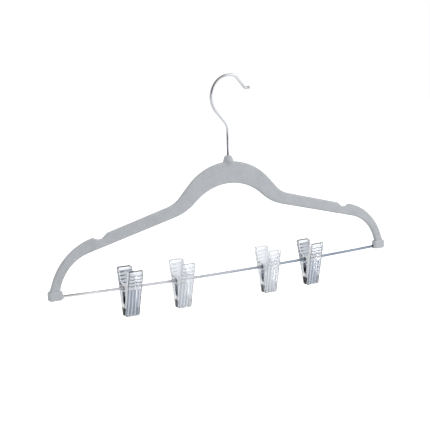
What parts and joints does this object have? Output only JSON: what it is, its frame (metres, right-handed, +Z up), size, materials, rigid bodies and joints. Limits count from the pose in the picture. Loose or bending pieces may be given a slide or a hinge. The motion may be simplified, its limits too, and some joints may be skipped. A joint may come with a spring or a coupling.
{
  "type": "skirt hanger",
  "caption": "Flocked shoulder hanger with a chrome swivel hook, a trouser bar and clear spring clips that slide, swing and open on the bar.",
  "frame": {"origin": "the middle of the trouser bar's axis", "axes": "+X along the bar to the right as seen from the front, -Y to the front, +Z up to the hook"},
  "size_m": [0.4444, 0.0324, 0.2574],
  "materials": {
    "flocked_body": "flocked",
    "flocked_cuffs": "flocked",
    "hook_chrome": "polished",
    "bar_steel": "plated",
    "clear_jaw": "clear",
    "clear_bush": "clear",
    "spring_steel": "dark"
  },
  "bodies": {
    "hook": {"hook": "hook_chrome"},
    "hanger": {"hanger_body": "flocked_body", "left_cuff": "flocked_cuffs", "right_cuff": "flocked_cuffs", "trouser_bar": "bar_steel"},
    "clip_1_bush": {"clip_1_bush": "clear_bush"},
    "clip_1_swing": {"clip_1_spring": "spring_steel"},
    "clip_1_front": {"clip_1_front_jaw": "clear_jaw"},
    "clip_1_rear": {"clip_1_rear_jaw": "clear_jaw"},
    "clip_2_bush": {"clip_2_bush": "clear_bush"},
    "clip_2_swing": {"clip_2_spring": "spring_steel"},
    "clip_2_front": {"clip_2_front_jaw": "clear_jaw"},
    "clip_2_rear": {"clip_2_rear_jaw": "clear_jaw"},
    "clip_3_bush": {"clip_3_bush": "clear_bush"},
    "clip_3_swing": {"clip_3_spring": "spring_steel"},
    "clip_3_front": {"clip_3_front_jaw": "clear_jaw"},
    "clip_3_rear": {"clip_3_rear_jaw": "clear_jaw"},
    "clip_4_bush": {"clip_4_bush": "clear_bush"},
    "clip_4_swing": {"clip_4_spring": "spring_steel"},
    "clip_4_front": {"clip_4_front_jaw": "clear_jaw"},
    "clip_4_rear": {"clip_4_rear_jaw": "clear_jaw"}
  },
  "joints": [
    {"name": "hook_swivel", "type": "hinge", "parent": "hook", "child": "hanger", "pos_m": [0, 0, 0.1283], "axis": [0, 0, 1], "continuous": true},
    {"name": "clip_1_slide", "type": "slide", "parent": "hanger", "child": "clip_1_bush", "axis": [0.9998, 0, -0.0184], "range_m": [-0.0497, 0.0227]},
    {"name": "clip_1_swing", "type": "hinge", "parent": "clip_1_bush", "child": "clip_1_swing", "pos_m": [-0.12829, 0, 0.00118], "axis": [0.9998, 0, -0.0184], "continuous": true},
    {"name": "clip_1_open", "type": "hinge", "parent": "clip_1_swing", "child": "clip_1_front", "pos_m": [-0.12829, 0, 0.00118], "axis": [-0.9998, 0, 0.0184], "range_deg": [0, 16], "stiffness_Nm_per_rad": 0.4, "springref_deg": -45.84, "deforming": ["clip_1_spring"]},
    {"name": "clip_1_rear_open", "type": "hinge", "parent": "clip_1_swing", "child": "clip_1_rear", "pos_m": [-0.12829, 0, 0.00118], "axis": [0.9998, 0, -0.0184], "range_deg": [0, 16]},
    {"name": "clip_2_slide", "type": "slide", "parent": "hanger", "child": "clip_2_bush", "axis": [1, 0, -0.0092], "range_m": [-0.024, 0.0483]},
    {"name": "clip_2_swing", "type": "hinge", "parent": "clip_2_bush", "child": "clip_2_swing", "pos_m": [-0.064, 0, 0.00029], "axis": [1, 0, -0.0092], "continuous": true},
    {"name": "clip_2_open", "type": "hinge", "parent": "clip_2_swing", "child": "clip_2_front", "pos_m": [-0.064, 0, 0.00029], "axis": [-1, 0, 0.0092], "range_deg": [0, 16], "stiffness_Nm_per_rad": 0.4, "springref_deg": -45.84, "deforming": ["clip_2_spring"]},
    {"name": "clip_2_rear_open", "type": "hinge", "parent": "clip_2_swing", "child": "clip_2_rear", "pos_m": [-0.064, 0, 0.00029], "axis": [1, 0, -0.0092], "range_deg": [0, 16]},
    {"name": "clip_3_slide", "type": "slide", "parent": "hanger", "child": "clip_3_bush", "axis": [1, 0, 0.0072], "range_m": [-0.0483, 0.0214]},
    {"name": "clip_3_swing", "type": "hinge", "parent": "clip_3_bush", "child": "clip_3_swing", "pos_m": [0.0503, 0, 0.00018], "axis": [1, 0, 0.0072], "continuous": true},
    {"name": "clip_3_open", "type": "hinge", "parent": "clip_3_swing", "child": "clip_3_front", "pos_m": [0.0503, 0, 0.00018], "axis": [-1, 0, -0.0072], "range_deg": [0, 16], "stiffness_Nm_per_rad": 0.4, "springref_deg": -45.84, "deforming": ["clip_3_spring"]},
    {"name": "clip_3_rear_open", "type": "hinge", "parent": "clip_3_swing", "child": "clip_3_rear", "pos_m": [0.0503, 0, 0.00018], "axis": [1, 0, 0.0072], "range_deg": [0, 16]},
    {"name": "clip_4_slide", "type": "slide", "parent": "hanger", "child": "clip_4_bush", "axis": [0.9999, 0, 0.0158], "range_m": [-0.0214, 0.0673]},
    {"name": "clip_4_swing", "type": "hinge", "parent": "clip_4_bush", "child": "clip_4_swing", "pos_m": [0.11069, 0, 0.00088], "axis": [0.9999, 0, 0.0158], "continuous": true},
    {"name": "clip_4_open", "type": "hinge", "parent": "clip_4_swing", "child": "clip_4_front", "pos_m": [0.11069, 0, 0.00088], "axis": [-0.9999, 0, -0.0158], "range_deg": [0, 16], "stiffness_Nm_per_rad": 0.4, "springref_deg": -45.84, "deforming": ["clip_4_spring"]},
    {"name": "clip_4_rear_open", "type": "hinge", "parent": "clip_4_swing", "child": "clip_4_rear", "pos_m": [0.11069, 0, 0.00088], "axis": [0.9999, 0, 0.0158], "range_deg": [0, 16]}
  ],
  "couplings": [
    {"joint": "clip_1_rear_open", "follows": "clip_1_open", "ratio": 1},
    {"joint": "clip_2_rear_open", "follows": "clip_2_open", "ratio": 1},
    {"joint": "clip_3_rear_open", "follows": "clip_3_open", "ratio": 1},
    {"joint": "clip_4_rear_open", "follows": "clip_4_open", "ratio": 1}
  ]
}
